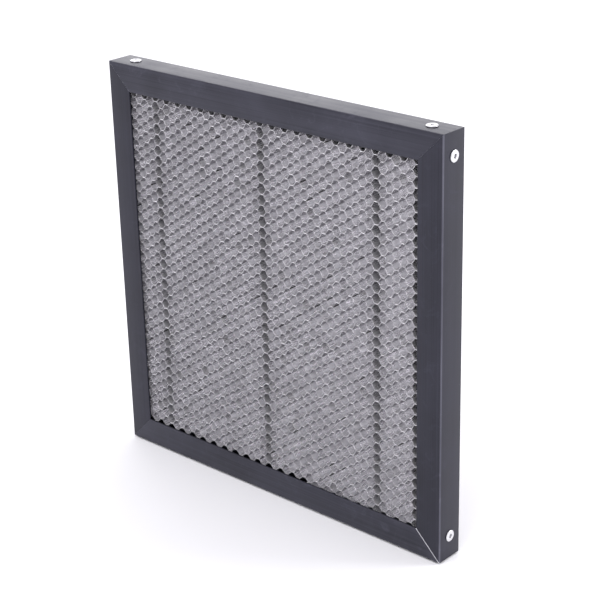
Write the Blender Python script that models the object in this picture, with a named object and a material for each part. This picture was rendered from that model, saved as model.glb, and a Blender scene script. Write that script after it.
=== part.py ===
"""Honeycomb bed for a laser cutter: a mitred aluminium frame around a honeycomb core.

The bed stands upright on its bottom rail. Its working face looks towards -Y, +Z is up,
and the origin is on the ground under its middle.
"""

import math

import bmesh
import bpy
from mathutils import Matrix, Vector

# The frame, in metres.
SIDE = 0.300  # outer side of the square frame
DEPTH = 0.022  # front face to rear face
BAND = 0.020  # width of the front and rear lips
WALL = 0.0015  # thickness of the extruded channel
EDGE_RADIUS = 0.0008  # rounding of the channel's two outer edges
GAP = 0.0003  # clearance between neighbouring pieces

# The corner joints.
RIVET_FROM_END = 0.017  # rivet axis to the frame's outer corner
NEARER_RIVETS = {("right", "top"): 0.016}  # drilled nearer the corner than the rest
HEAD_RADIUS = 0.0041
HEAD_HEIGHT = 0.0011  # how far a rivet head stands proud of its rail
SHANK_RADIUS = 0.0024
BULB_RADIUS = 0.0034
BULB_LENGTH = 0.0029
PIN_RADIUS = 0.0013
PIN_HEAD_RADIUS = 0.0022
KEY_THICKNESS = 0.0020
KEY_LENGTH = 0.034
KEY_WIDTH = 0.018

# The core. Its cells are CELL_SCALE times the real ones, with walls to match.
CORE_INSET = 0.019  # frame's outer face to the core's cut edge
CELL_SCALE = 2.1
CELL_PITCH = 0.00787 * CELL_SCALE  # from cell to cell up a column
CELL_REPEAT = 0.01115 * CELL_SCALE  # from a column to the next but one
FLAT_LENGTH = 0.00310 * CELL_SCALE  # the level walls, above and below each cell
FOIL = 0.00020 * CELL_SCALE

# The flat strips that lie across the back of the core.
STRIP_WIDTH = 0.006
STRIP_THICKNESS = 0.002
STRIP_INSET = 0.003  # frame's outer face to a strip's end
STRIP_SPACING = 0.1005
STRIP_MIDDLE_X = -0.005

RING_STEPS = 16  # sides of a turned piece
CENTRE_Z = SIDE / 2 + HEAD_HEIGHT

# Each rail's turn about Y from the top rail, and the names of its two ends.
RAILS = {
    "top": (0, ("left", "right")),
    "right": (90, ("top", "bottom")),
    "bottom": (180, ("right", "left")),
    "left": (270, ("bottom", "top")),
}
KEYS = {"top_right": 0, "bottom_right": 90, "bottom_left": 180, "top_left": 270}


def clear_scene():
    """Remove whatever the startup file holds."""
    for obj in list(bpy.data.objects):
        bpy.data.objects.remove(obj, do_unlink=True)


def new_collection(name):
    collection = bpy.data.collections.new(name)
    bpy.context.scene.collection.children.link(collection)
    return collection


def material(name, color, roughness, metallic):
    """A Principled material with one colour."""
    made = bpy.data.materials.new(name)
    made.use_nodes = True
    shader = made.node_tree.nodes["Principled BSDF"]
    shader.inputs["Base Color"].default_value = (*color, 1.0)
    shader.inputs["Roughness"].default_value = roughness
    shader.inputs["Metallic"].default_value = metallic
    made.diffuse_color = (*color, 1.0)
    return made


def mesh_of(bm, name):
    """Turn a bmesh into a mesh whose faces point out."""
    bmesh.ops.recalc_face_normals(bm, faces=bm.faces)
    mesh = bpy.data.meshes.new(name)
    bm.to_mesh(mesh)
    bm.free()
    return mesh


def place(name, mesh, collection, parent, turn=0.0, look=None):
    """Make an object, turned about the frame's own middle."""
    obj = bpy.data.objects.new(name, mesh)
    obj.parent = parent
    obj.rotation_euler = (0.0, math.radians(turn), 0.0)
    if look and not mesh.materials:
        mesh.materials.append(look)
    collection.objects.link(obj)
    return obj


def cut(obj, cutter):
    """Take a cutter's shape out of an object."""
    modifier = obj.modifiers.new(cutter.name, "BOOLEAN")
    modifier.operation = "DIFFERENCE"
    modifier.solver = "EXACT"
    modifier.object = cutter


def arc(middle, radius, start, end, steps):
    """Points along an arc, with its angles in degrees."""
    angles = [math.radians(start + (end - start) * i / steps) for i in range(steps + 1)]
    return [(middle[0] + radius * math.cos(a), middle[1] + radius * math.sin(a)) for a in angles]


def prism(outline, place_point, move):
    """Fill an outline and extrude it by a vector. place_point turns (u, v) into a position."""
    bm = bmesh.new()
    face = bm.faces.new([bm.verts.new(place_point(u, v)) for u, v in outline])
    made = bmesh.ops.extrude_face_region(bm, geom=[face])["geom"]
    moved = [v for v in made if isinstance(v, bmesh.types.BMVert)]
    bmesh.ops.translate(bm, vec=move, verts=moved)
    return bm


def channel_outline():
    """The rail's section as (y, depth below its outer face): a web and two lips."""
    half = DEPTH / 2
    r = EDGE_RADIUS
    return [
        (-half, BAND),
        *arc((-half + r, r), r, 180, 270, 3),
        *arc((half - r, r), r, 270, 360, 3),
        (half, BAND),
        (half - WALL, BAND),
        (half - WALL, WALL),
        (-half + WALL, WALL),
        (-half + WALL, BAND),
    ]


def rail_mesh():
    """The top rail, with both ends cut at 45 degrees."""
    bm = prism(
        channel_outline(),
        lambda y, depth: Vector((-1.0, y, SIDE / 2 - depth)),
        Vector((2.0, 0.0, 0.0)),
    )
    for vert in bm.verts:
        reach = vert.co.z - GAP / math.sqrt(2)
        vert.co.x = math.copysign(reach, vert.co.x)
    return mesh_of(bm, "channel_rail")


def key_mesh():
    """The L-shaped key inside the top right corner, against both webs."""
    outer = SIDE / 2 - WALL - GAP
    inner = outer - KEY_THICKNESS
    end = SIDE / 2 - KEY_LENGTH
    fillet = 0.003
    outline = [
        (end, outer),
        (outer - 0.001, outer),
        (outer, outer - 0.001),
        (outer, end),
        (inner, end),
        *arc((inner - fillet, inner - fillet), fillet, 0, 90, 4),
        (end, inner),
    ]
    bm = prism(
        outline,
        lambda x, z: Vector((x, -KEY_WIDTH / 2, z)),
        Vector((0.0, KEY_WIDTH, 0.0)),
    )
    return mesh_of(bm, "corner_key")


def turned(name, profile):
    """A closed profile of (radius, height) points, spun about Z."""
    bm = bmesh.new()
    verts = [bm.verts.new((radius, 0.0, height)) for radius, height in profile]
    ends = [v for v in verts if v.co.x == 0.0]
    pairs = list(zip(verts, verts[1:]))
    if not ends:
        pairs.append((verts[-1], verts[0]))
    edges = [bm.edges.new(pair) for pair in pairs]
    bmesh.ops.spin(
        bm,
        geom=verts + edges,
        axis=(0, 0, 1),
        cent=(0, 0, 0),
        angle=2 * math.pi,
        steps=RING_STEPS,
        use_merge=True,
    )
    bmesh.ops.remove_doubles(bm, verts=bm.verts, dist=1e-6)
    mesh = mesh_of(bm, name)
    mesh.shade_smooth()
    mesh.set_sharp_from_angle(angle=math.radians(35))
    return mesh


def rivet_mesh():
    """A blind rivet's body, set: domed head, hollow shank and the bulb behind the key.

    Z points out of the frame, and 0 is the rail's outer face.
    """
    bore = PIN_RADIUS + GAP
    behind = -(WALL + GAP + KEY_THICKNESS + GAP)
    crown_radius = HEAD_RADIUS / 2
    dome = [
        (
            crown_radius + (HEAD_RADIUS - crown_radius) * u,
            GAP + (HEAD_HEIGHT - GAP) * v,
        )
        for u, v in arc((0.0, 0.0), 1.0, 90, 0, 3)
    ]
    return turned(
        "rivet_body",
        [
            (bore, HEAD_HEIGHT - 0.0003),
            (bore + 0.0002, HEAD_HEIGHT),
            *dome,
            (SHANK_RADIUS, GAP),
            (SHANK_RADIUS, behind),
            (BULB_RADIUS, behind),
            (BULB_RADIUS - 0.0004, behind - BULB_LENGTH),
            (bore, behind - BULB_LENGTH),
        ],
    )


def pin_mesh():
    """What stays of the rivet's mandrel: a stem snapped off in the head, and its own head."""
    bulb_end = -(WALL + GAP + KEY_THICKNESS + GAP + BULB_LENGTH)
    return turned(
        "rivet_pin",
        [
            (0.0, 0.0002),
            (PIN_RADIUS, 0.0),
            (PIN_RADIUS, bulb_end - GAP),
            (PIN_HEAD_RADIUS, bulb_end - GAP),
            (PIN_HEAD_RADIUS * 0.8, bulb_end - GAP - 0.0012),
            (0.0, bulb_end - GAP - 0.0012),
        ],
    )


def box_mesh(name, size, middle):
    """A box from its size and its middle."""
    bm = bmesh.new()
    matrix = Matrix.Translation(middle) @ Matrix.Diagonal((*size, 1.0))
    bmesh.ops.create_cube(bm, size=1.0, matrix=matrix)
    return mesh_of(bm, name)


def rivet_seats(side):
    """Each end's name, and where its rivet's head sits while the rail is on top."""
    seats = {}
    for direction, end in zip((-1, 1), RAILS[side][1]):
        inset = NEARER_RIVETS.get((side, end), RIVET_FROM_END)
        seats[end] = Vector((direction * (SIDE / 2 - inset), 0.0, SIDE / 2))
    return seats


def hole_mesh(side):
    """Drills for one rail's two rivet holes, placed as if the rail were on top."""
    bm = bmesh.new()
    for seat in rivet_seats(side).values():
        position = seat - Vector((0.0, 0.0, 0.002))
        bmesh.ops.create_cone(
            bm,
            cap_ends=True,
            segments=RING_STEPS,
            radius1=SHANK_RADIUS + GAP,
            radius2=SHANK_RADIUS + GAP,
            depth=0.010,
            matrix=Matrix.Translation(position),
        )
    return mesh_of(bm, "rivet_holes")


def cell_outline(x, z):
    """The inside of one honeycomb cell: level walls above and below, points at the sides."""
    half_height = (CELL_PITCH - FOIL) / 2
    slant = (CELL_REPEAT - 2 * FLAT_LENGTH) / 2
    lean = math.atan2(CELL_PITCH / 2, slant)
    half_flat = FLAT_LENGTH / 2 - FOIL / 2 * math.tan(lean / 2) * 0.5
    tip = half_flat + half_height / math.tan(lean)
    return [
        (x - half_flat, z - half_height),
        (x + half_flat, z - half_height),
        (x + tip, z),
        (x + half_flat, z + half_height),
        (x - half_flat, z + half_height),
        (x - tip, z),
    ]


def cells_mesh(front, back):
    """Every cell's inside, a little deeper than the core."""
    bm = bmesh.new()
    margin = 0.001
    half = SIDE / 2 - CORE_INSET
    spacing = CELL_REPEAT / 2
    columns = math.ceil((half + spacing) / spacing)
    rows = math.ceil(half / CELL_PITCH) + 1
    for column in range(-columns, columns + 1):
        for row in range(-rows, rows + 1):
            x = column * spacing
            z = (row + (column % 2) / 2) * CELL_PITCH
            outline = cell_outline(x, z)
            nearest_x = min(abs(u) for u, _ in outline)
            nearest_z = min(abs(v) for _, v in outline)
            if nearest_x > half or nearest_z > half:
                continue
            points = [bm.verts.new((u, front - margin, v)) for u, v in outline]
            face = bm.faces.new(points)
            made = bmesh.ops.extrude_face_region(bm, geom=[face])["geom"]
            moved = [v for v in made if isinstance(v, bmesh.types.BMVert)]
            bmesh.ops.translate(bm, vec=(0, back - front + 2 * margin, 0), verts=moved)
    return mesh_of(bm, "cell_insides")


def build():
    clear_scene()
    parts = new_collection("honeycomb_laser_bed")
    cutters = new_collection("cutters")

    centre = bpy.data.objects.new("bed_middle", None)
    centre.location = (0.0, 0.0, CENTRE_Z)
    parts.objects.link(centre)

    anodised = material("black_anodised_aluminium", (0.060, 0.058, 0.075), 0.45, 0.85)
    foil = material("aluminium_foil", (0.62, 0.61, 0.62), 0.35, 1.0)
    plated = material("zinc_plated_steel", (0.36, 0.36, 0.37), 0.50, 1.0)
    bright = material("rivet_aluminium", (0.86, 0.86, 0.87), 0.30, 1.0)
    steel = material("rivet_steel", (0.45, 0.45, 0.46), 0.40, 1.0)
    cast = material("corner_key_aluminium", (0.55, 0.55, 0.57), 0.50, 1.0)

    drills = {}
    for side, (turn, _) in RAILS.items():
        drills[turn] = place(f"drill_{side}", hole_mesh(side), cutters, centre, turn)

    rail = rail_mesh()
    for side, (turn, _) in RAILS.items():
        made = place(f"frame_rail_{side}", rail, parts, centre, turn, anodised)
        cut(made, drills[turn])

    key = key_mesh()
    for corner, turn in KEYS.items():
        made = place(f"corner_key_{corner}", key, parts, centre, turn, cast)
        cut(made, drills[turn])
        cut(made, drills[(turn + 90) % 360])

    rivet = rivet_mesh()
    pin = pin_mesh()
    for side, (turn, _) in RAILS.items():
        for end, seat in rivet_seats(side).items():
            position = Matrix.Rotation(math.radians(turn), 4, "Y") @ seat
            body = place(f"rivet_{side}_{end}", rivet, parts, centre, turn, bright)
            body.location = position
            stem = place(f"rivet_pin_{side}_{end}", pin, parts, centre, turn, steel)
            stem.location = position

    rear_lip = DEPTH / 2 - WALL
    strip_back = rear_lip - GAP
    core_back = strip_back - STRIP_THICKNESS - GAP
    core_front = -DEPTH / 2 + WALL + GAP
    for number, name in enumerate(("left", "middle", "right")):
        x = STRIP_MIDDLE_X + (number - 1) * STRIP_SPACING
        size = (STRIP_WIDTH, STRIP_THICKNESS, SIDE - 2 * STRIP_INSET)
        strip = box_mesh("strip", size, (x, strip_back - STRIP_THICKNESS / 2, 0.0))
        place(f"support_strip_{name}", strip, parts, centre, 0.0, plated)

    core_side = SIDE - 2 * CORE_INSET
    core_size = (core_side, core_back - core_front, core_side)
    block = box_mesh("core_block", core_size, (0.0, (core_front + core_back) / 2, 0.0))
    core = place("honeycomb_core", block, parts, centre, 0.0, foil)
    cells = place("cell_cutter", cells_mesh(core_front, core_back), cutters, centre)
    cut(core, cells)

    for cutter in cutters.objects:
        cutter.hide_render = True
        cutter.display_type = "WIRE"


build()
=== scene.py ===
# %% [markdown]
# # A honeycomb bed for a laser cutter
# A laser cutter's work lies on a bed that the beam can pass through. This one is a
# core of thin aluminium foil, pulled open into hexagons and held in a frame of
# black aluminium channel. The frame's four rails meet at mitres, and blind rivets
# fix each of them to a key hidden in the corner.
# The bed stands upright here, with its working face towards -Y.

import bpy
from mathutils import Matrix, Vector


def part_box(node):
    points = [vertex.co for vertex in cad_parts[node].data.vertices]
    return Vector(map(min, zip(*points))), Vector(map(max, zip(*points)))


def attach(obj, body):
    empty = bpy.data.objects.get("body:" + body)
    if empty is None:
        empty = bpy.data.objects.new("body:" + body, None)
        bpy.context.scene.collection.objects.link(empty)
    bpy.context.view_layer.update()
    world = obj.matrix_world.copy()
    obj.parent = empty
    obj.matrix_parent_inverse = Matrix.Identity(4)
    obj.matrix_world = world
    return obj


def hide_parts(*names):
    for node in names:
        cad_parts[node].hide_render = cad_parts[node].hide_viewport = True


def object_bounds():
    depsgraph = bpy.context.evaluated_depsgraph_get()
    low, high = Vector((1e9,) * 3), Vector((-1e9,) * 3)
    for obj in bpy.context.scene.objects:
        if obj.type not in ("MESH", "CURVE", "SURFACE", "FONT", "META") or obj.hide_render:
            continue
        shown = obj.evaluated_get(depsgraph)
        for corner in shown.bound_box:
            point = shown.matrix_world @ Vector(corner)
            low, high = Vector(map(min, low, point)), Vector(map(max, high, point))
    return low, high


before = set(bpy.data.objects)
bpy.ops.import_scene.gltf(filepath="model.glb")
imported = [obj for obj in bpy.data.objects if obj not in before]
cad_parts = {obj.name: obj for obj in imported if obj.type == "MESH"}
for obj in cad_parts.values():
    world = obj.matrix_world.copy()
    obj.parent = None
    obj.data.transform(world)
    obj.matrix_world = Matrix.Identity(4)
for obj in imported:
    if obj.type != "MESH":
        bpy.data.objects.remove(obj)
cad_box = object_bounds()
print("CAD box in metres:", [[round(v, 4) for v in corner] for corner in cad_box])

# %% [markdown]
# The rest of Python's and Blender's modules come next, and the sizes that several
# pieces share. Real sizes are easiest to read in millimetres, and Blender counts in
# metres, so one constant turns the first into the second.

# %% Shared sizes
import math
import random

import bmesh
import bpy
from mathutils import Matrix, Vector

MM = 0.001
SIDE = 300 * MM
DEPTH = 22 * MM
BAND = 20 * MM
WALL = 1.5 * MM
MIDDLE = Vector((0.0, 0.0, (cad_box[0][2] + cad_box[1][2]) / 2))
print("The frame's middle is", round(MIDDLE.z * 1000, 2), "mm above the ground")

# %% [markdown]
# ## Camera
# The bed is seen from its right and from a little above, with a long lens, so its
# far side looks almost as tall as its near one. The camera is turned a little about
# its own axis too: the bed's right edge leans outwards at the top.

# %% Camera
CAMERA_AT = Vector((0.7342, -0.7845, 0.5957))
LOOKS_AT = Vector((0.0106, 0.0097, 0.1505))
CAMERA_ROLL = math.radians(-1.47)

lens = bpy.data.cameras.new("camera")
lens.lens = 99.9
camera = bpy.data.objects.new("camera", lens)
aim = (LOOKS_AT - CAMERA_AT).to_track_quat("-Z", "Y").to_matrix().to_4x4()
camera.matrix_world = Matrix.Translation(CAMERA_AT) @ aim @ Matrix.Rotation(CAMERA_ROLL, 4, "Z")
bpy.context.scene.collection.objects.link(camera)
bpy.context.scene.camera = camera
print("Camera distance:", round((LOOKS_AT - CAMERA_AT).length, 3), "m")

# %% [markdown]
# ## Colours and nodes
# Colours are written as the hex values that a paint program shows. Blender mixes
# light in linear values, so one function turns each hex value into those.
# Materials are built from nodes, and one small function adds any node: its
# settings, its values, and the sockets that feed it.

# %% Helpers for materials


def linear(hex_colour):
    """Turn an sRGB hex colour into linear red, green, blue and alpha."""
    channels = [int(hex_colour[i : i + 2], 16) / 255 for i in (1, 3, 5)]
    turned = [c / 12.92 if c <= 0.04045 else ((c + 0.055) / 1.055) ** 2.4 for c in channels]
    return (*turned, 1.0)


def add(tree, kind, inputs=None, **settings):
    """Add a node. inputs holds values, or other nodes' outputs to link."""
    node = tree.nodes.new(kind)
    for name, value in settings.items():
        setattr(node, name, value)
    for socket, value in (inputs or {}).items():
        if isinstance(value, bpy.types.NodeSocket):
            tree.links.new(value, node.inputs[socket])
        else:
            node.inputs[socket].default_value = value
    return node


def new_material(name):
    """A material with an empty Principled shader, and its node tree."""
    made = bpy.data.materials.new(name)
    made.use_nodes = True
    return made, made.node_tree, made.node_tree.nodes["Principled BSDF"]


def own_place(tree):
    """The object's own coordinates, moved on by its own random length, so no two match."""
    place = add(tree, "ShaderNodeTexCoord").outputs["Object"]
    luck = add(tree, "ShaderNodeObjectInfo").outputs["Random"]
    return add(tree, "ShaderNodeVectorMath", {0: place, 1: luck}).outputs[0]


# %% [markdown]
# ## Ground
# The bed stands on a sheet of matt white paper, so large that its edges don't show.

# %% Ground
GROUND_SIDE = 8.0
PAPER_ROUGHNESS = 0.9
PAPER_SHINE = 0.2

ground_mesh = bpy.data.meshes.new("ground")
bm = bmesh.new()
bmesh.ops.create_grid(bm, x_segments=1, y_segments=1, size=GROUND_SIDE / 2)
bm.to_mesh(ground_mesh)
bm.free()
ground = bpy.data.objects.new("ground", ground_mesh)
bpy.context.scene.collection.objects.link(ground)

paper, tree, shader = new_material("matt_white_paper")
shader.inputs["Base Color"].default_value = linear("#f9f9fa")
shader.inputs["Roughness"].default_value = PAPER_ROUGHNESS
shader.inputs["Specular IOR Level"].default_value = PAPER_SHINE
ground_mesh.materials.append(paper)
print("Ground:", GROUND_SIDE, "m square")

# %% [markdown]
# ## Lights
# Most of the light comes from a bright room all round, which keeps shadows soft.
# Three soft boxes add to it. The one behind, at the left, is what the top rail's outer
# face mirrors. The one at the right lights the floor that the right rail's outer face
# mirrors. The weak one in front, overhead, lights the working face from above.

# %% Lights
ROOM_COLOUR = "#fbf9ff"
ROOM_STRENGTH = 1.03


def soft_box(name, at, towards, size, watts):
    """A square area light that faces a point."""
    light = bpy.data.lights.new(name, "AREA")
    light.shape = "SQUARE"
    light.size = size
    light.energy = watts
    holder = bpy.data.objects.new(name, light)
    facing = (Vector(towards) - Vector(at)).to_track_quat("-Z", "Y")
    holder.matrix_world = Matrix.Translation(at) @ facing.to_matrix().to_4x4()
    bpy.context.scene.collection.objects.link(holder)
    return holder


world = bpy.data.worlds.new("studio")
world.use_nodes = True
background = world.node_tree.nodes["Background"]
background.inputs["Color"].default_value = linear(ROOM_COLOUR)
background.inputs["Strength"].default_value = ROOM_STRENGTH
bpy.context.scene.world = world
bpy.context.scene.view_settings.view_transform = "Standard"

# Each box: where it is, what it faces, its side in metres and its power in watts.
soft_box("behind", (-2.4, 2.2, 1.2), (0, 0, 0.15), 2.4, 28)
soft_box("right", (1.7, 1.5, 1.1), (0.75, 0.65, 0), 0.9, 25)
soft_box("overhead", (0.1, -1.0, 1.9), (0, 0, 0.1), 1.2, 14)

# %% [markdown]
# ## Black anodised aluminium
# The rails are extruded aluminium, anodised and dyed black. Anodising grows a
# hard skin of clear aluminium oxide, and the dye sits in its pores. So the eye meets
# a dark ceramic skin and not bare metal: metallic is 0, and the sheen comes from the
# oxide. Its own refractive index is about 1.6, and the pores bring that down, so the
# rails were matched at 1.5 and 1.45.
# The die leaves fine lines along each rail. They show as faint streaks. The dye also
# takes unevenly, in broad clouds, and handling adds pale scuffs. All three move the
# colour from the dark of the full dye towards a paler grey, and the paler it is, the
# rougher. The left and right rails get a darker copy, which is painted shade. Along
# the right rail's front edge, a paler copy is a painted highlight.

# %% Black anodised aluminium
DIE_LINE = 0.9 * MM  # real ones are finer, and this is as coarse as they need to show
DIE_LINE_LENGTH = 180 * MM
CLOUD = 35 * MM
SCUFF = 14 * MM
STREAKS_SHOW = 0.36  # how far each of the three moves the colour, at most
CLOUDS_SHOW = 0.34
SCUFFS_SHOW = 0.60
PALEST = 0.9  # where the roughness stops rising
SMOOTH_DYE = 0.34
SCUFFED_DYE = 0.56
MIRRORS = "#e9e9ff"  # the sheen is faintly blue


def black_anodised(name, hex_colour, hex_pale, index=1.5):
    """Dyed anodised aluminium, with die lines along the object's own X axis."""
    made, tree, shader = new_material(name)
    place = own_place(tree)

    across = (1 / DIE_LINE_LENGTH, 1 / DIE_LINE, 1 / DIE_LINE)
    along = add(tree, "ShaderNodeMapping", {"Vector": place, "Scale": across})
    lines = add(
        tree,
        "ShaderNodeTexNoise",
        {"Vector": along.outputs[0], "Scale": 1.0, "Detail": 3.0},
    )
    cloud = add(
        tree,
        "ShaderNodeTexNoise",
        {"Vector": place, "Scale": 1 / CLOUD, "Detail": 4.0},
    )
    rubbed = add(
        tree,
        "ShaderNodeTexNoise",
        {"Vector": place, "Scale": 1 / SCUFF, "Detail": 9.0, "Roughness": 0.72, "Distortion": 1.5},
    )
    scuffs = add(
        tree,
        "ShaderNodeMapRange",
        {"Value": rubbed.outputs[0], "From Min": 0.55, "From Max": 0.75, "To Max": SCUFFS_SHOW},
    )
    streaks = add(
        tree,
        "ShaderNodeMapRange",
        {"Value": lines.outputs[0], "From Min": 0.3, "From Max": 0.7, "To Max": STREAKS_SHOW},
    )
    clouds = add(
        tree,
        "ShaderNodeMapRange",
        {"Value": cloud.outputs[0], "From Min": 0.3, "From Max": 0.7, "To Max": CLOUDS_SHOW},
    )
    pale = streaks
    for other in (clouds, scuffs):
        both = {0: pale.outputs[0], 1: other.outputs[0]}
        pale = add(tree, "ShaderNodeMath", both, operation="ADD")
    colour = add(
        tree,
        "ShaderNodeMix",
        {0: pale.outputs[0], 6: linear(hex_colour), 7: linear(hex_pale)},
        data_type="RGBA",
    )
    rough = add(
        tree,
        "ShaderNodeMapRange",
        {
            "Value": pale.outputs[0],
            "From Max": PALEST,
            "To Min": SMOOTH_DYE,
            "To Max": SCUFFED_DYE,
        },
    )
    bump = add(
        tree,
        "ShaderNodeBump",
        {"Height": lines.outputs[0], "Strength": 0.25, "Distance": 0.01 * MM},
    )
    tree.links.new(colour.outputs[2], shader.inputs["Base Color"])
    tree.links.new(rough.outputs[0], shader.inputs["Roughness"])
    tree.links.new(bump.outputs[0], shader.inputs["Normal"])
    shader.inputs["Metallic"].default_value = 0.0
    shader.inputs["IOR"].default_value = index
    shader.inputs["Specular Tint"].default_value = linear(MIRRORS)
    print("Material:", name)
    return made


anodised = black_anodised("black_anodised_aluminium", "#0d0d12", "#3e3e48")
# A darker copy for the left and right rails: painted shade.
anodised_painted_shade = black_anodised(
    "black_anodised_aluminium_painted_shade", "#0a0a0e", "#30303a", 1.45
)
# A paler copy for the right rail's front edge: a painted highlight.
painted_highlight_edge = black_anodised("anodised_aluminium_painted_highlight", "#34343c", "#6c6c76")

# %% [markdown]
# ## Bare metal
# Where the saw cut a mitre after anodising, bare aluminium shows as a bright line.
# The rivets are bare too, pressed from soft aluminium, and their crowns keep the
# die's satin. The mandrels are steel wire, snapped off, so they are darker and
# rougher. The corner keys are die cast, which leaves a duller and coarser skin. A metal
# reflects with its own colour, so metallic is 1 in all four.

# %% Bare metal
PRESSED_GRAIN = 0.6 * MM  # the marks of saw and die are finer, and this shows
SNAPPED_GRAIN = 0.3 * MM
CAST_GRAIN = 1.5 * MM


def bare_metal(name, hex_colour, hex_dull, rough_low, rough_high, grain):
    """Uncoated metal with a fine uneven grain."""
    made, tree, shader = new_material(name)
    place = add(tree, "ShaderNodeTexCoord").outputs["Object"]
    noise = add(
        tree,
        "ShaderNodeTexNoise",
        {"Vector": place, "Scale": 1 / grain, "Detail": 5.0},
    )
    spread = add(
        tree,
        "ShaderNodeMapRange",
        {"Value": noise.outputs[0], "From Min": 0.35, "From Max": 0.65},
    )
    colour = add(
        tree,
        "ShaderNodeMix",
        {0: spread.outputs[0], 6: linear(hex_dull), 7: linear(hex_colour)},
        data_type="RGBA",
    )
    rough = add(
        tree,
        "ShaderNodeMapRange",
        {"Value": spread.outputs[0], "To Min": rough_high, "To Max": rough_low},
    )
    bump = add(
        tree,
        "ShaderNodeBump",
        {"Height": noise.outputs[0], "Strength": 0.3, "Distance": 0.01 * MM},
    )
    tree.links.new(colour.outputs[2], shader.inputs["Base Color"])
    tree.links.new(rough.outputs[0], shader.inputs["Roughness"])
    tree.links.new(bump.outputs[0], shader.inputs["Normal"])
    shader.inputs["Metallic"].default_value = 1.0
    print("Material:", name)
    return made


sawn = bare_metal("sawn_aluminium", "#eeeef0", "#c9c9cd", 0.35, 0.50, PRESSED_GRAIN)
pressed = bare_metal("pressed_aluminium", "#e8e8ea", "#d0d0d3", 0.28, 0.38, PRESSED_GRAIN)
snapped = bare_metal("snapped_steel", "#c4c4c8", "#8e8e93", 0.35, 0.55, SNAPPED_GRAIN)
cast = bare_metal("cast_aluminium", "#b4b4b8", "#8c8c92", 0.50, 0.65, CAST_GRAIN)

# %% [markdown]
# ## Frame rails
# Each rail is a length of channel: a web on the outside and a lip in front of and
# behind the core. Drawing the section once and stretching it between two mitres
# gives the same piece that a saw cuts from the bar. The long outer edges leave the
# die with a small radius, which catches the light along the frame.

# %% Section of the channel


def arc(middle, radius, start, end, steps):
    """Points along an arc, with its angles in degrees."""
    angles = [math.radians(start + (end - start) * i / steps) for i in range(steps + 1)]
    return [
        (middle[0] + radius * math.cos(a), middle[1] + radius * math.sin(a)) for a in angles
    ]


def channel_outline(outer, tip):
    """The section as (y, depth below the outer face). outer and tip are edge radii."""
    half = DEPTH / 2
    inside = half - WALL
    return [
        *arc((-half + tip, BAND - tip), tip, 90, 180, 3),
        *arc((-half + outer, outer), outer, 180, 270, 6),
        *arc((half - outer, outer), outer, 270, 360, 6),
        *arc((half - tip, BAND - tip), tip, 0, 90, 3),
        *arc((inside + tip, BAND - tip), tip, 90, 180, 3),
        (inside, WALL),
        (-inside, WALL),
        *arc((-inside - tip, BAND - tip), tip, 0, 90, 3),
    ]


def inset(outline, by):
    """Move a closed outline's points inwards."""
    moved = []
    earlier, later = outline[-1:] + outline[:-1], outline[1:] + outline[:1]
    for before, at, after in zip(earlier, outline, later):
        pairs = ((before, at), (at, after))
        edges = [(Vector(q) - Vector(p)).normalized() for p, q in pairs]
        inwards = [Vector((-edge.y, edge.x)) for edge in edges]
        shift = (inwards[0] + inwards[1]) * by / (1 + inwards[0].dot(inwards[1]))
        moved.append((at[0] + shift.x, at[1] + shift.y))
    return moved


OUTER_RADIUS = 1.0 * MM
TIP_RADIUS = 0.45 * MM

section = channel_outline(OUTER_RADIUS, TIP_RADIUS)
FRONT_ARRIS = range(6, 11)  # the section's points round the front outer edge
print("Channel section:", len(section), "points")

# %% [markdown]
# Each end of a rail stops at the mitre: every point of the section goes out as far as
# it lies from the frame's middle, which makes 45 degrees. A chamfer breaks the sawn
# edge, so there are two rings of points at each end: the full section a little way
# back, and a smaller one on the cut. Three of the joints close tightly, and their thin
# chamfers keep the dye. The saw left the one at the bottom right ragged, so its
# chamfers are wide and show sawn metal. Along the right rail, the faces round the
# front edge get a paler copy of the finish, which is a painted highlight.
# Rivet holes are cut with a Boolean, as a drill would after sawing. The rails are all
# drawn as the top one and then turned into place.

# %% Build the rails
MITRE_GAP = 0.03 * MM
CLOSE_MITRE = 0.02 * MM
OPEN_MITRE = 0.40 * MM  # the bottom right joint
HOLE_RADIUS = 2.7 * MM
DRILL_LENGTH = 10 * MM


def new_piece(name, mesh, turn, slot, *looks):
    """Make an object about the frame's middle, turned about Y, that rides on the bed."""
    piece = bpy.data.objects.new(name, mesh)
    turned_by = Matrix.Rotation(math.radians(turn), 4, "Y")
    piece.matrix_world = Matrix.Translation(MIDDLE) @ turned_by
    bpy.context.scene.collection.objects.link(piece)
    for look in looks:
        mesh.materials.append(look)
    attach(piece, "root")
    return piece


def finish_mesh(bm, name, smooth_under=40):
    """Turn a bmesh into a smooth-shaded mesh with sharp corners."""
    bmesh.ops.recalc_face_normals(bm, faces=bm.faces)
    mesh = bpy.data.meshes.new(name)
    bm.to_mesh(mesh)
    bm.free()
    mesh.shade_smooth()
    mesh.set_sharp_from_angle(angle=math.radians(smooth_under))
    return mesh


def rail_bmesh(chamfers):
    """The top rail, about the frame's middle. chamfers are the widths at its two ends."""
    bm = bmesh.new()
    rings = []
    for side, width in zip((-1, 1), chamfers):
        ends = [(inset(section, width), 0.0), (section, width)]
        for outline, back in ends if side < 0 else reversed(ends):
            ring = []
            for y, depth in outline:
                z = SIDE / 2 - depth
                ring.append(bm.verts.new((side * (z - MITRE_GAP - back), y, z)))
            rings.append(ring)
    for number, (ring, after) in enumerate(zip(rings, rings[1:])):
        for i in range(len(ring)):
            face = bm.faces.new((ring[i - 1], ring[i], after[i], after[i - 1]))
            if number == 1:
                # Slot 2, round the front edge, holds the painted highlight on the right rail.
                face.material_index = 2 if i in FRONT_ARRIS else 0
            else:
                face.material_index = 0 if chamfers[number // 2] < OPEN_MITRE else 1
    for ring in (rings[0], rings[-1]):
        bm.faces.new(ring).material_index = 1
    return bm


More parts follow.
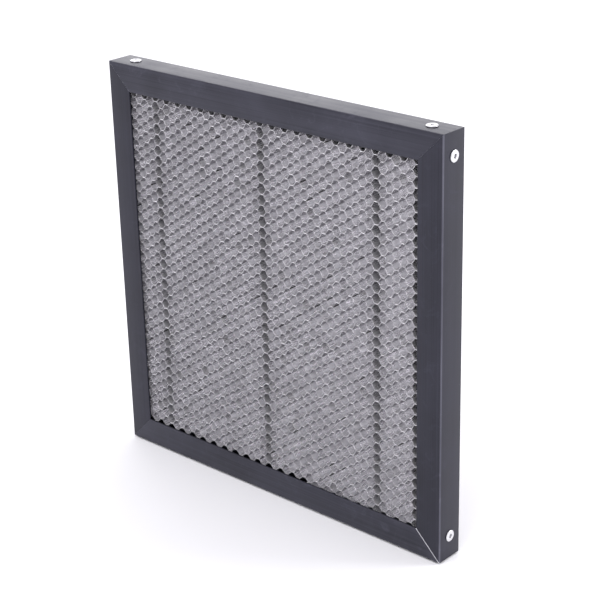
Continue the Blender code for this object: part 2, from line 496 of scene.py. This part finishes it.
def rivet_seats(side, turn, ends):
    """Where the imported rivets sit, seen as if this rail were on top."""
    back = Matrix.Rotation(math.radians(-turn), 4, "Y")
    seats = {}
    for end in ends:
        low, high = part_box(f"rivet_{side}_{end}")
        seats[end] = Vector(((back @ ((low + high) / 2 - MIDDLE)).x, 0, SIDE / 2))
    return seats


def drill(mesh, seats):
    """Cut rivet holes out of a mesh."""
    bit = bmesh.new()
    for seat in seats:
        bmesh.ops.create_cone(
            bit, cap_ends=True, segments=32, radius1=HOLE_RADIUS, radius2=HOLE_RADIUS,
            depth=DRILL_LENGTH, matrix=Matrix.Translation(seat),
        )
    bit_mesh = bpy.data.meshes.new("drill")
    bit.to_mesh(bit_mesh)
    bit.free()
    holder = bpy.data.objects.new("drilled", mesh)
    cutter = bpy.data.objects.new("drill", bit_mesh)
    for obj in (holder, cutter):
        bpy.context.scene.collection.objects.link(obj)
    modifier = holder.modifiers.new("drill", "BOOLEAN")
    modifier.operation = "DIFFERENCE"
    modifier.object = cutter
    depsgraph = bpy.context.evaluated_depsgraph_get()
    cut = bpy.data.meshes.new_from_object(holder.evaluated_get(depsgraph))
    bpy.data.objects.remove(holder)
    bpy.data.objects.remove(cutter)
    return cut


# Each rail: its turn in degrees, the chamfers at its two ends, its rivets and its finish.
RAILS = {
    "top": (0, (CLOSE_MITRE, CLOSE_MITRE), ("left", "right"), anodised),
    "right": (90, (CLOSE_MITRE, OPEN_MITRE), ("top", "bottom"), anodised_painted_shade),
    "bottom": (180, (OPEN_MITRE, CLOSE_MITRE), ("right", "left"), anodised),
    "left": (270, (CLOSE_MITRE, CLOSE_MITRE), ("bottom", "top"), anodised_painted_shade),
}
seats = {}
for side, (turn, chamfers, ends, look) in RAILS.items():
    seats[side] = rivet_seats(side, turn, ends)
    mesh = finish_mesh(rail_bmesh(chamfers), f"rail_{side}")
    mesh.materials.append(look)
    mesh.materials.append(sawn)
    # Slot 2, round the front edge: the painted highlight on the right rail.
    mesh.materials.append(painted_highlight_edge if side == "right" else look)
    rail = new_piece(f"rail_{side}", drill(mesh, seats[side].values()), turn, "frame")
    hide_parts(f"frame_rail_{side}")
    print(rail.name, "has", len(rail.data.polygons), "faces")

# %% [markdown]
# ## Blind rivets
# A blind rivet is set from one side. A tool pulls its mandrel until the far end
# bulges, and the mandrel snaps off inside the head. What shows is a low bright dome
# with a hole in its middle, and the stub of the mandrel down the hole. Both are
# turned shapes, so each is a profile spun about its axis.

# %% Turned pieces


def turned(name, profile, steps=48):
    """Spin a profile of (radius, height) points, in millimetres, about Z."""
    bm = bmesh.new()
    verts = [bm.verts.new((radius * MM, 0, height * MM)) for radius, height in profile]
    pairs = list(zip(verts, verts[1:]))
    if all(v.co.x > 0 for v in verts):
        pairs.append((verts[-1], verts[0]))
    edges = [bm.edges.new(pair) for pair in pairs]
    bmesh.ops.spin(
        bm, geom=verts + edges, axis=(0, 0, 1), cent=(0, 0, 0), angle=2 * math.pi,
        steps=steps, use_merge=True,
    )
    bmesh.ops.remove_doubles(bm, verts=bm.verts, dist=1e-6)
    return finish_mesh(bm, name, 35)


# In millimetres, with heights from the rail's outer face.
HEAD_RADIUS = 4.1
HEAD_HEIGHT = 1.1
RIM_HEIGHT = 0.45
DOME_START = 1.9
BORE = 1.42

dome = [
    (DOME_START + (HEAD_RADIUS - DOME_START) * u, RIM_HEIGHT + (HEAD_HEIGHT - RIM_HEIGHT) * v)
    for u, v in arc((0, 0), 1, 90, 0, 8)
]
rivet_mesh = turned(
    "blind_rivet",
    [
        (BORE, 0.40),  # the bore's rounded lip
        (1.46, 0.85),
        (1.56, 1.03),
        (1.75, 1.09),
        *dome,
        (4.06, 0.34),  # under the rim
        (3.85, 0.26),
        (3.40, 0.05),
        (2.4, 0.03),  # the shank
        (2.4, -4.0),
        (3.1, -4.15),  # the bulge behind the key
        (3.4, -4.9),
        (3.3, -6.2),
        (2.7, -6.95),
        (BORE, -7.0),
    ],
)
print("Rivet:", len(rivet_mesh.polygons), "faces")

# %% [markdown]
# The mandrel's stub ends in a rough break, pulled up to a blunt point. Moving the
# points of its end a little, each by its own amount, gives that break. Its other end
# is the round head that made the rivet bulge.

# %% Mandrel stubs
WIRE = 1.22  # radius in millimetres
BREAK_FROM = -0.1 * MM

mandrel_mesh = turned(
    "mandrel_stub",
    [
        (0.0, 0.42),
        (0.35, 0.46),
        (0.75, 0.34),
        (1.05, 0.12),
        (WIRE, -0.15),
        (WIRE, -7.2),
        (2.0, -7.35),  # the head
        (2.2, -7.8),
        (1.9, -8.4),
        (1.2, -8.5),
        (0.0, -8.5),
    ],
    32,
)
rng = random.Random(3)
for vert in mandrel_mesh.vertices:
    if vert.co.z > BREAK_FROM:
        vert.co.z += rng.uniform(-0.12, 0.08) * MM
print("Mandrel stub:", len(mandrel_mesh.polygons), "faces")

# %% [markdown]
# One rivet and one mandrel serve all eight places, as two meshes that eight objects
# share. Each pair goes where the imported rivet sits, and is spun about its own axis by
# chance, as a rivet is when it drops into its hole.

# %% Set the rivets
for side, (turn, *_) in RAILS.items():
    outward = Matrix.Translation(MIDDLE) @ Matrix.Rotation(math.radians(turn), 4, "Y")
    for end, seat in seats[side].items():
        spin = Matrix.Rotation(rng.uniform(0, 2 * math.pi), 4, "Z")
        for name, mesh, look, slot, node in (
            ("blind_rivet", rivet_mesh, pressed, "rivet", f"rivet_{side}_{end}"),
            ("mandrel", mandrel_mesh, snapped, "rivet_pin", f"rivet_pin_{side}_{end}"),
        ):
            piece = bpy.data.objects.new(f"{name}_{side}_{end}", mesh)
            piece.matrix_world = outward @ Matrix.Translation(seat) @ spin
            bpy.context.scene.collection.objects.link(piece)
            if not mesh.materials:
                mesh.materials.append(look)
            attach(piece, "root")
            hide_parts(node)
print("Rivets set:", sum(len(ends) for ends in seats.values()))

# %% [markdown]
# ## Corner keys
# The L-shaped keys are closed inside the channel, where nothing but the drill
# reaches them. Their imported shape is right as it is, so they only get a finish.

# %% Corner keys
for name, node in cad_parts.items():
    if name.startswith("corner_key"):
        node.data.materials.clear()
        node.data.materials.append(cast)
print("Corner keys finished in", cast.name)

# %% [markdown]
# ## Foil for the core
# Each sheet's underside gets a darker grey copy of the foil, which is painted shade:
# it makes each cell darker under its top than on its floor. Pulling the block open
# leaves long soft creases, which run from the front to the back.
# Aluminium is a metal, but foil that has been handled carries oxide and soil, so a
# little plain scattered light is mixed in: metallic is 0.78 and not 1. Where the saw
# cut the block to depth, the edges are rough, and they get a finish of their own.

# %% Rolled foil and its cut edge
FOLD = 1.2 * MM  # from crease to crease across the foil
FOLD_LENGTH = 16 * MM  # the core's depth
PATCH = 14 * FOLD
CUT_GRAIN = 2.5 * MM
CREASE_BUMP = 0.18 * MM
FOIL_METALLIC = 0.78


def rolled_foil(name, hex_dull, hex_bright, rough_low, rough_high):
    """Thin aluminium with soft creases and uneven sheen."""
    made, tree, shader = new_material(name)
    place = add(tree, "ShaderNodeTexCoord").outputs["Object"]
    sizes = (1 / FOLD, 1 / FOLD_LENGTH, 1 / FOLD)
    along = add(tree, "ShaderNodeMapping", {"Vector": place, "Scale": sizes})
    creases = add(
        tree,
        "ShaderNodeTexNoise",
        {"Vector": along.outputs[0], "Scale": 1.0, "Detail": 1.0},
    )
    patches = add(
        tree,
        "ShaderNodeTexNoise",
        {"Vector": place, "Scale": 1 / PATCH, "Detail": 3.0},
    )
    colour = add(
        tree,
        "ShaderNodeMix",
        {0: patches.outputs[0], 6: linear(hex_dull), 7: linear(hex_bright)},
        data_type="RGBA",
    )
    rough = add(
        tree,
        "ShaderNodeMapRange",
        {
            "Value": creases.outputs[0],
            "From Min": 0.3,
            "From Max": 0.7,
            "To Min": rough_low,
            "To Max": rough_high,
        },
    )
    bump = add(
        tree,
        "ShaderNodeBump",
        {"Height": creases.outputs[0], "Strength": 0.7, "Distance": CREASE_BUMP},
    )
    tree.links.new(colour.outputs[2], shader.inputs["Base Color"])
    tree.links.new(rough.outputs[0], shader.inputs["Roughness"])
    tree.links.new(bump.outputs[0], shader.inputs["Normal"])
    shader.inputs["Metallic"].default_value = FOIL_METALLIC
    print("Material:", name)
    return made


foil = rolled_foil("bright_rolled_aluminium_foil", "#f6f4f7", "#fefdff", 0.24, 0.36)
# A darker copy for the foil's undersides: painted shade.
foil_painted_shade = rolled_foil("rolled_aluminium_foil_painted_shade", "#8d8c91", "#afaeb2", 0.30, 0.45)
foil_edge = bare_metal("cut_foil_edge", "#f2f1f4", "#a6a5a8", 0.35, 0.60, CUT_GRAIN)

# %% [markdown]
# Epoxy glue holds the sheets together. It cures to a grey skin with a soft gloss, and
# it shows here and there, where it squeezed out of a joint. The same grey is painted
# shade on a few walls, under the cells' tops. It is a plastic, so its metallic and IOR
# stay as Blender gives them.

# %% Cured glue
GLUE_RUN = 3 * MM

glue_and_shade, tree, shader = new_material("cured_epoxy_glue_and_painted_shade")
place = add(tree, "ShaderNodeTexCoord").outputs["Object"]
runs = add(tree, "ShaderNodeTexNoise", {"Vector": place, "Scale": 1 / GLUE_RUN, "Detail": 3.0})
tone = add(
    tree,
    "ShaderNodeMix",
    {0: runs.outputs[0], 6: linear("#454442"), 7: linear("#6b6a68")},
    data_type="RGBA",
)
tree.links.new(tone.outputs[2], shader.inputs["Base Color"])
shader.inputs["Roughness"].default_value = 0.4
print("Material:", glue_and_shade.name)

# %% [markdown]
# ## Honeycomb core
# Honeycomb is made flat. Sheets of foil are stacked with stripes of glue, each
# layer's stripes half a step along from the last, and the stack is pulled open. Each
# sheet becomes a zigzag ribbon that runs across the bed, and where two ribbons are
# glued, the wall is double. So the core is built the same way, ribbon by ribbon.
# Pulling is never even, so each glued joint sits a little off its place. Both ribbons
# at a joint share the same shift, which keeps them touching. The pull wasn't quite
# square either, so the columns lean to the left towards the bottom. The core was then
# pressed into its frame: the rows near the bottom have settled, and those at the
# bottom right stand a little high, with room for one more sheet under them.
# Real foil is thinner, and is drawn 0.25 mm thick so that its cut edges show.

# %% Where the glued joints are
CELL_PITCH = 7.895 * MM  # from cell to cell up a column
COLUMN_STEP = 5.575 * MM  # from a column to the next
JOINT_LENGTH = 3.1 * MM  # the double walls
FOIL = 0.25 * MM  # its thickness
FIRST_COLUMN = -133.18 * MM
FIRST_JOINT_ROW = 130.5 * MM
RIBBONS = 67
LAST_RIBBON_FROM = 29  # the lowest sheet only reaches over the right of the core
LEAN_MIDDLE = -0.0065  # metres to the right for each metre down, in the middle
LEAN_SPREAD = 0.036  # how much that gains for each metre to the right
SETTLED = {RIBBONS - 1: -0.3 * MM, RIBBONS - 2: -0.7 * MM, RIBBONS - 3: -0.3 * MM}
SANK = 0.5 * MM  # how much lower the bottom row is than it would be
RISE = 0.019  # how much of that it gains back for each metre right of the middle
LOOSE_SHARE = 0.06  # of the joints, this many are further off than the rest
LOOSE = 2.2
OFF_ACROSS = 0.17  # in millimetres, at most, either way
OFF_UP = 0.20
OFF_DEEP = 0.10
GLUE_SHOWS_SHARE = 0.03
# Of the joints at a ribbon's top, this many get painted shade in the glue's grey on the underside
# beside them.
PAINTED_SHADE_SHARE = 0.08


def lean(x, z):
    """How far to the right a place has moved. Minus is to the left."""
    return (FIRST_JOINT_ROW - z) * (LEAN_MIDDLE + LEAN_SPREAD * x)


columns = range(48)
rows = range(RIBBONS + 1)
rng = random.Random(11)
shift = {}
for k in columns:
    for m in rows:
        loose = LOOSE if rng.random() < LOOSE_SHARE else 1.0
        shift[k, m] = (
            loose * rng.uniform(-OFF_ACROSS, OFF_ACROSS) * MM,
            loose * rng.uniform(-OFF_UP, OFF_UP) * MM,
            rng.uniform(-OFF_DEEP, OFF_DEEP) * MM,
        )
glue_shows = {joint: rng.random() < GLUE_SHOWS_SHARE for joint in shift}
painted_shade_runs = {joint: rng.random() < PAINTED_SHADE_SHARE for joint in shift}
print(len(columns), "columns and", len(rows), "rows of joints")

# %% [markdown]
# A ribbon goes from joint to joint, in turn on the row above it and the row below. It
# bends at the end of each joint, and two soft creases keep the free wall between from
# being quite flat. Glue shows at a few bends. On a few walls, beside a joint at the
# ribbon's top, the underside gets the glue's dark grey as painted shade under the cell's
# top. Giving the line a thickness makes it foil: each point becomes four corners, and
# each stretch four faces, whose looks are the top side, the underside with its painted
# shade, and two cut edges.

# %% Ribbons of foil
BEND = 0.45 * MM  # how far a bend reaches on either side of its corner
FOLD_DEPTH = 0.07 * MM
CREASES_AT = (0.36, 0.64)  # as parts of the wall's length
CREASE_DRIFT = 0.08
# The second look, on every underside, is painted shade.
BRIGHT_LOOK, SHADED_UNDERSIDE_LOOK, EDGE_LOOK, GLUE_AND_SHADE_LOOK = range(4)


def joint_level(row, k):
    """Which row of joints the ribbon under this row reaches in column k."""
    return row + (k + row) % 2


def joint_ends(row, k):
    """The two ends of the joint that the ribbon under this row has in column k."""
    m = joint_level(row, k)
    dx, dz, dy = shift[k, m]
    side = FOIL / 2 if m > row else -FOIL / 2
    x = FIRST_COLUMN + k * COLUMN_STEP
    z = FIRST_JOINT_ROW - m * CELL_PITCH / 2
    down = m / RIBBONS
    x += lean(x, z) + dx
    z += dz + side + SETTLED.get(m, 0.0) + down * (RISE * max(x, 0.0) - SANK)
    return Vector((x - JOINT_LENGTH / 2, dy, z)), Vector((x + JOINT_LENGTH / 2, dy, z))


def ribbon_line(row, across):
    """A ribbon's middle line, and how its two sides look after each point of it."""
    joints = [joint_ends(row, k) for k in across]
    bare = (BRIGHT_LOOK, SHADED_UNDERSIDE_LOOK)
    points, looks = [joints[0][0]], [bare]
    for k, (_, right), (after, _) in zip(across, joints, joints[1:]):
        wall = after - right
        sideways = Vector((-wall.z, 0, wall.x)).normalized()
        points.append(right - Vector((BEND, 0, 0)))
        points.append(right + wall.normalized() * BEND)
        for part in CREASES_AT:
            push = sideways * rng.gauss(0, FOLD_DEPTH)
            drift = rng.uniform(-CREASE_DRIFT, CREASE_DRIFT)
            points.append(right + wall * (part + drift) + push)
        points.append(after - wall.normalized() * BEND)
        points.append(after + Vector((BEND, 0, 0)))
        bends = []
        for number in (k, k + 1):
            glued = glue_shows[number, joint_level(row, number)]
            upper = joint_level(row, number) > row
            bends.append((GLUE_AND_SHADE_LOOK if glued and not upper else BRIGHT_LOOK,
                          GLUE_AND_SHADE_LOOK if glued and upper else SHADED_UNDERSIDE_LOOK))
        walls = [bare, bare, bare]
        for number, end in ((k, 0), (k + 1, 2)):
            m = joint_level(row, number)
            # Painted shade: the underside beside a joint at the ribbon's top gets the glue's grey,
            # under the cell's top.
            if m == row and painted_shade_runs[number, m]:
                walls[end] = bends[end // 2] = (BRIGHT_LOOK, GLUE_AND_SHADE_LOOK)
        looks += [bends[0], *walls, bends[1], bare]
    points.append(joints[-1][1])
    return points, looks


def add_ribbon(points, point_looks, front, back, verts, faces, looks):
    """Thicken a line into foil that runs from the core's front to its back."""
    start = len(verts)
    for i, point in enumerate(points):
        along = (points[min(i + 1, len(points) - 1)] - points[max(i - 1, 0)]).normalized()
        side = Vector((-along.z, 0, along.x)).normalized() * FOIL / 2
        for y in (front, back):
            middle = Vector((point.x, y + point.y, point.z))
            verts += [middle + side, middle - side]
    for i, look in zip(range(len(points) - 1), point_looks):
        a = start + 4 * i
        b = a + 4
        faces.append((a, b, b + 2, a + 2))
        faces.append((a + 1, a + 3, b + 3, b + 1))
        faces.append((a, a + 1, b + 1, b))
        faces.append((a + 2, b + 2, b + 3, a + 3))
        looks.extend((*look, EDGE_LOOK, EDGE_LOOK))
    last = start + 4 * (len(points) - 1)
    faces.append((start, start + 2, start + 3, start + 1))
    faces.append((last, last + 1, last + 3, last + 2))
    looks.extend((EDGE_LOOK, EDGE_LOOK))


# %% [markdown]
# All the ribbons go into one mesh, one after the other, from the top. The core starts
# just behind the front lips and ends at the support strips.

# %% Build the core
CORE_FRONT = -9.1 * MM
CORE_BACK = 7.1 * MM
SHARP_FOLD = math.radians(12)

verts, faces, looks = [], [], []
for row in range(RIBBONS):
    reaches = columns if row < RIBBONS - 1 else columns[LAST_RIBBON_FROM:]
    add_ribbon(*ribbon_line(row, reaches), CORE_FRONT, CORE_BACK, verts, faces, looks)
core_mesh = bpy.data.meshes.new("honeycomb")
core_mesh.from_pydata(verts, [], faces)
core_mesh.polygons.foreach_set("material_index", looks)
core_mesh.shade_smooth()
core_mesh.set_sharp_from_angle(angle=SHARP_FOLD)
core = new_piece("honeycomb", core_mesh, 0, "honeycomb", foil, foil_painted_shade, foil_edge, glue_and_shade)
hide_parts("honeycomb_core")
print("Honeycomb:", RIBBONS, "ribbons,", len(core_mesh.polygons), "faces")

# %% [markdown]
# ## Support strips
# Three flat steel strips cross the back of the core and keep it from sagging under
# the work. They show from the front as columns of dark cells, because no light comes
# through behind them, and each lies as far askew as the columns before it lean.
# The steel is zinc plated. Zinc is a metal too, so metallic is 1 and the colour is
# its own dull grey, uneven where it has begun to tarnish, with a faint fine grain.

# %% Support strips
GRAIN = 1.2 * MM  # zinc's crystals are finer, and this is as fine as shows
TARNISH = 20 * GRAIN
STRIP_EDGE = 0.45 * MM

plated, tree, shader = new_material("zinc_plated_steel")
place = add(tree, "ShaderNodeTexCoord").outputs["Object"]
grain = add(
    tree,
    "ShaderNodeTexNoise",
    {"Vector": place, "Scale": 1 / GRAIN, "Detail": 2.0},
)
cloud = add(
    tree,
    "ShaderNodeTexNoise",
    {"Vector": place, "Scale": 1 / TARNISH, "Detail": 4.0},
)
tone = add(
    tree,
    "ShaderNodeMix",
    {0: cloud.outputs[0], 6: linear("#4c4c50"), 7: linear("#6a6a6e")},
    data_type="RGBA",
)
wear = add(
    tree,
    "ShaderNodeMapRange",
    {"Value": cloud.outputs[0], "To Min": 0.42, "To Max": 0.62},
)
bump = add(
    tree,
    "ShaderNodeBump",
    {"Height": grain.outputs[0], "Strength": 0.3, "Distance": 0.03 * MM},
)
tree.links.new(tone.outputs[2], shader.inputs["Base Color"])
tree.links.new(wear.outputs[0], shader.inputs["Roughness"])
tree.links.new(bump.outputs[0], shader.inputs["Normal"])
shader.inputs["Metallic"].default_value = 1.0
print("Material:", plated.name)

for name in ("left", "middle", "right"):
    low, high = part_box(f"support_strip_{name}")
    placed = Matrix.Translation((low + high) / 2 - MIDDLE)
    bm = bmesh.new()
    bmesh.ops.create_cube(bm, size=1.0, matrix=placed @ Matrix.Diagonal((*(high - low), 1.0)))
    bmesh.ops.bevel(
        bm, geom=list(bm.edges), offset=STRIP_EDGE, segments=3, profile=0.5, affect="EDGES"
    )
    for vert in bm.verts:
        vert.co.x += lean(vert.co.x, vert.co.z)
    strip_mesh = finish_mesh(bm, f"strip_{name}")
    strip = new_piece(f"strip_{name}", strip_mesh, 0, "support_strip", plated)
    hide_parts(f"support_strip_{name}")
    print(strip.name, "is", round((high - low).x * 1000, 1), "mm wide")
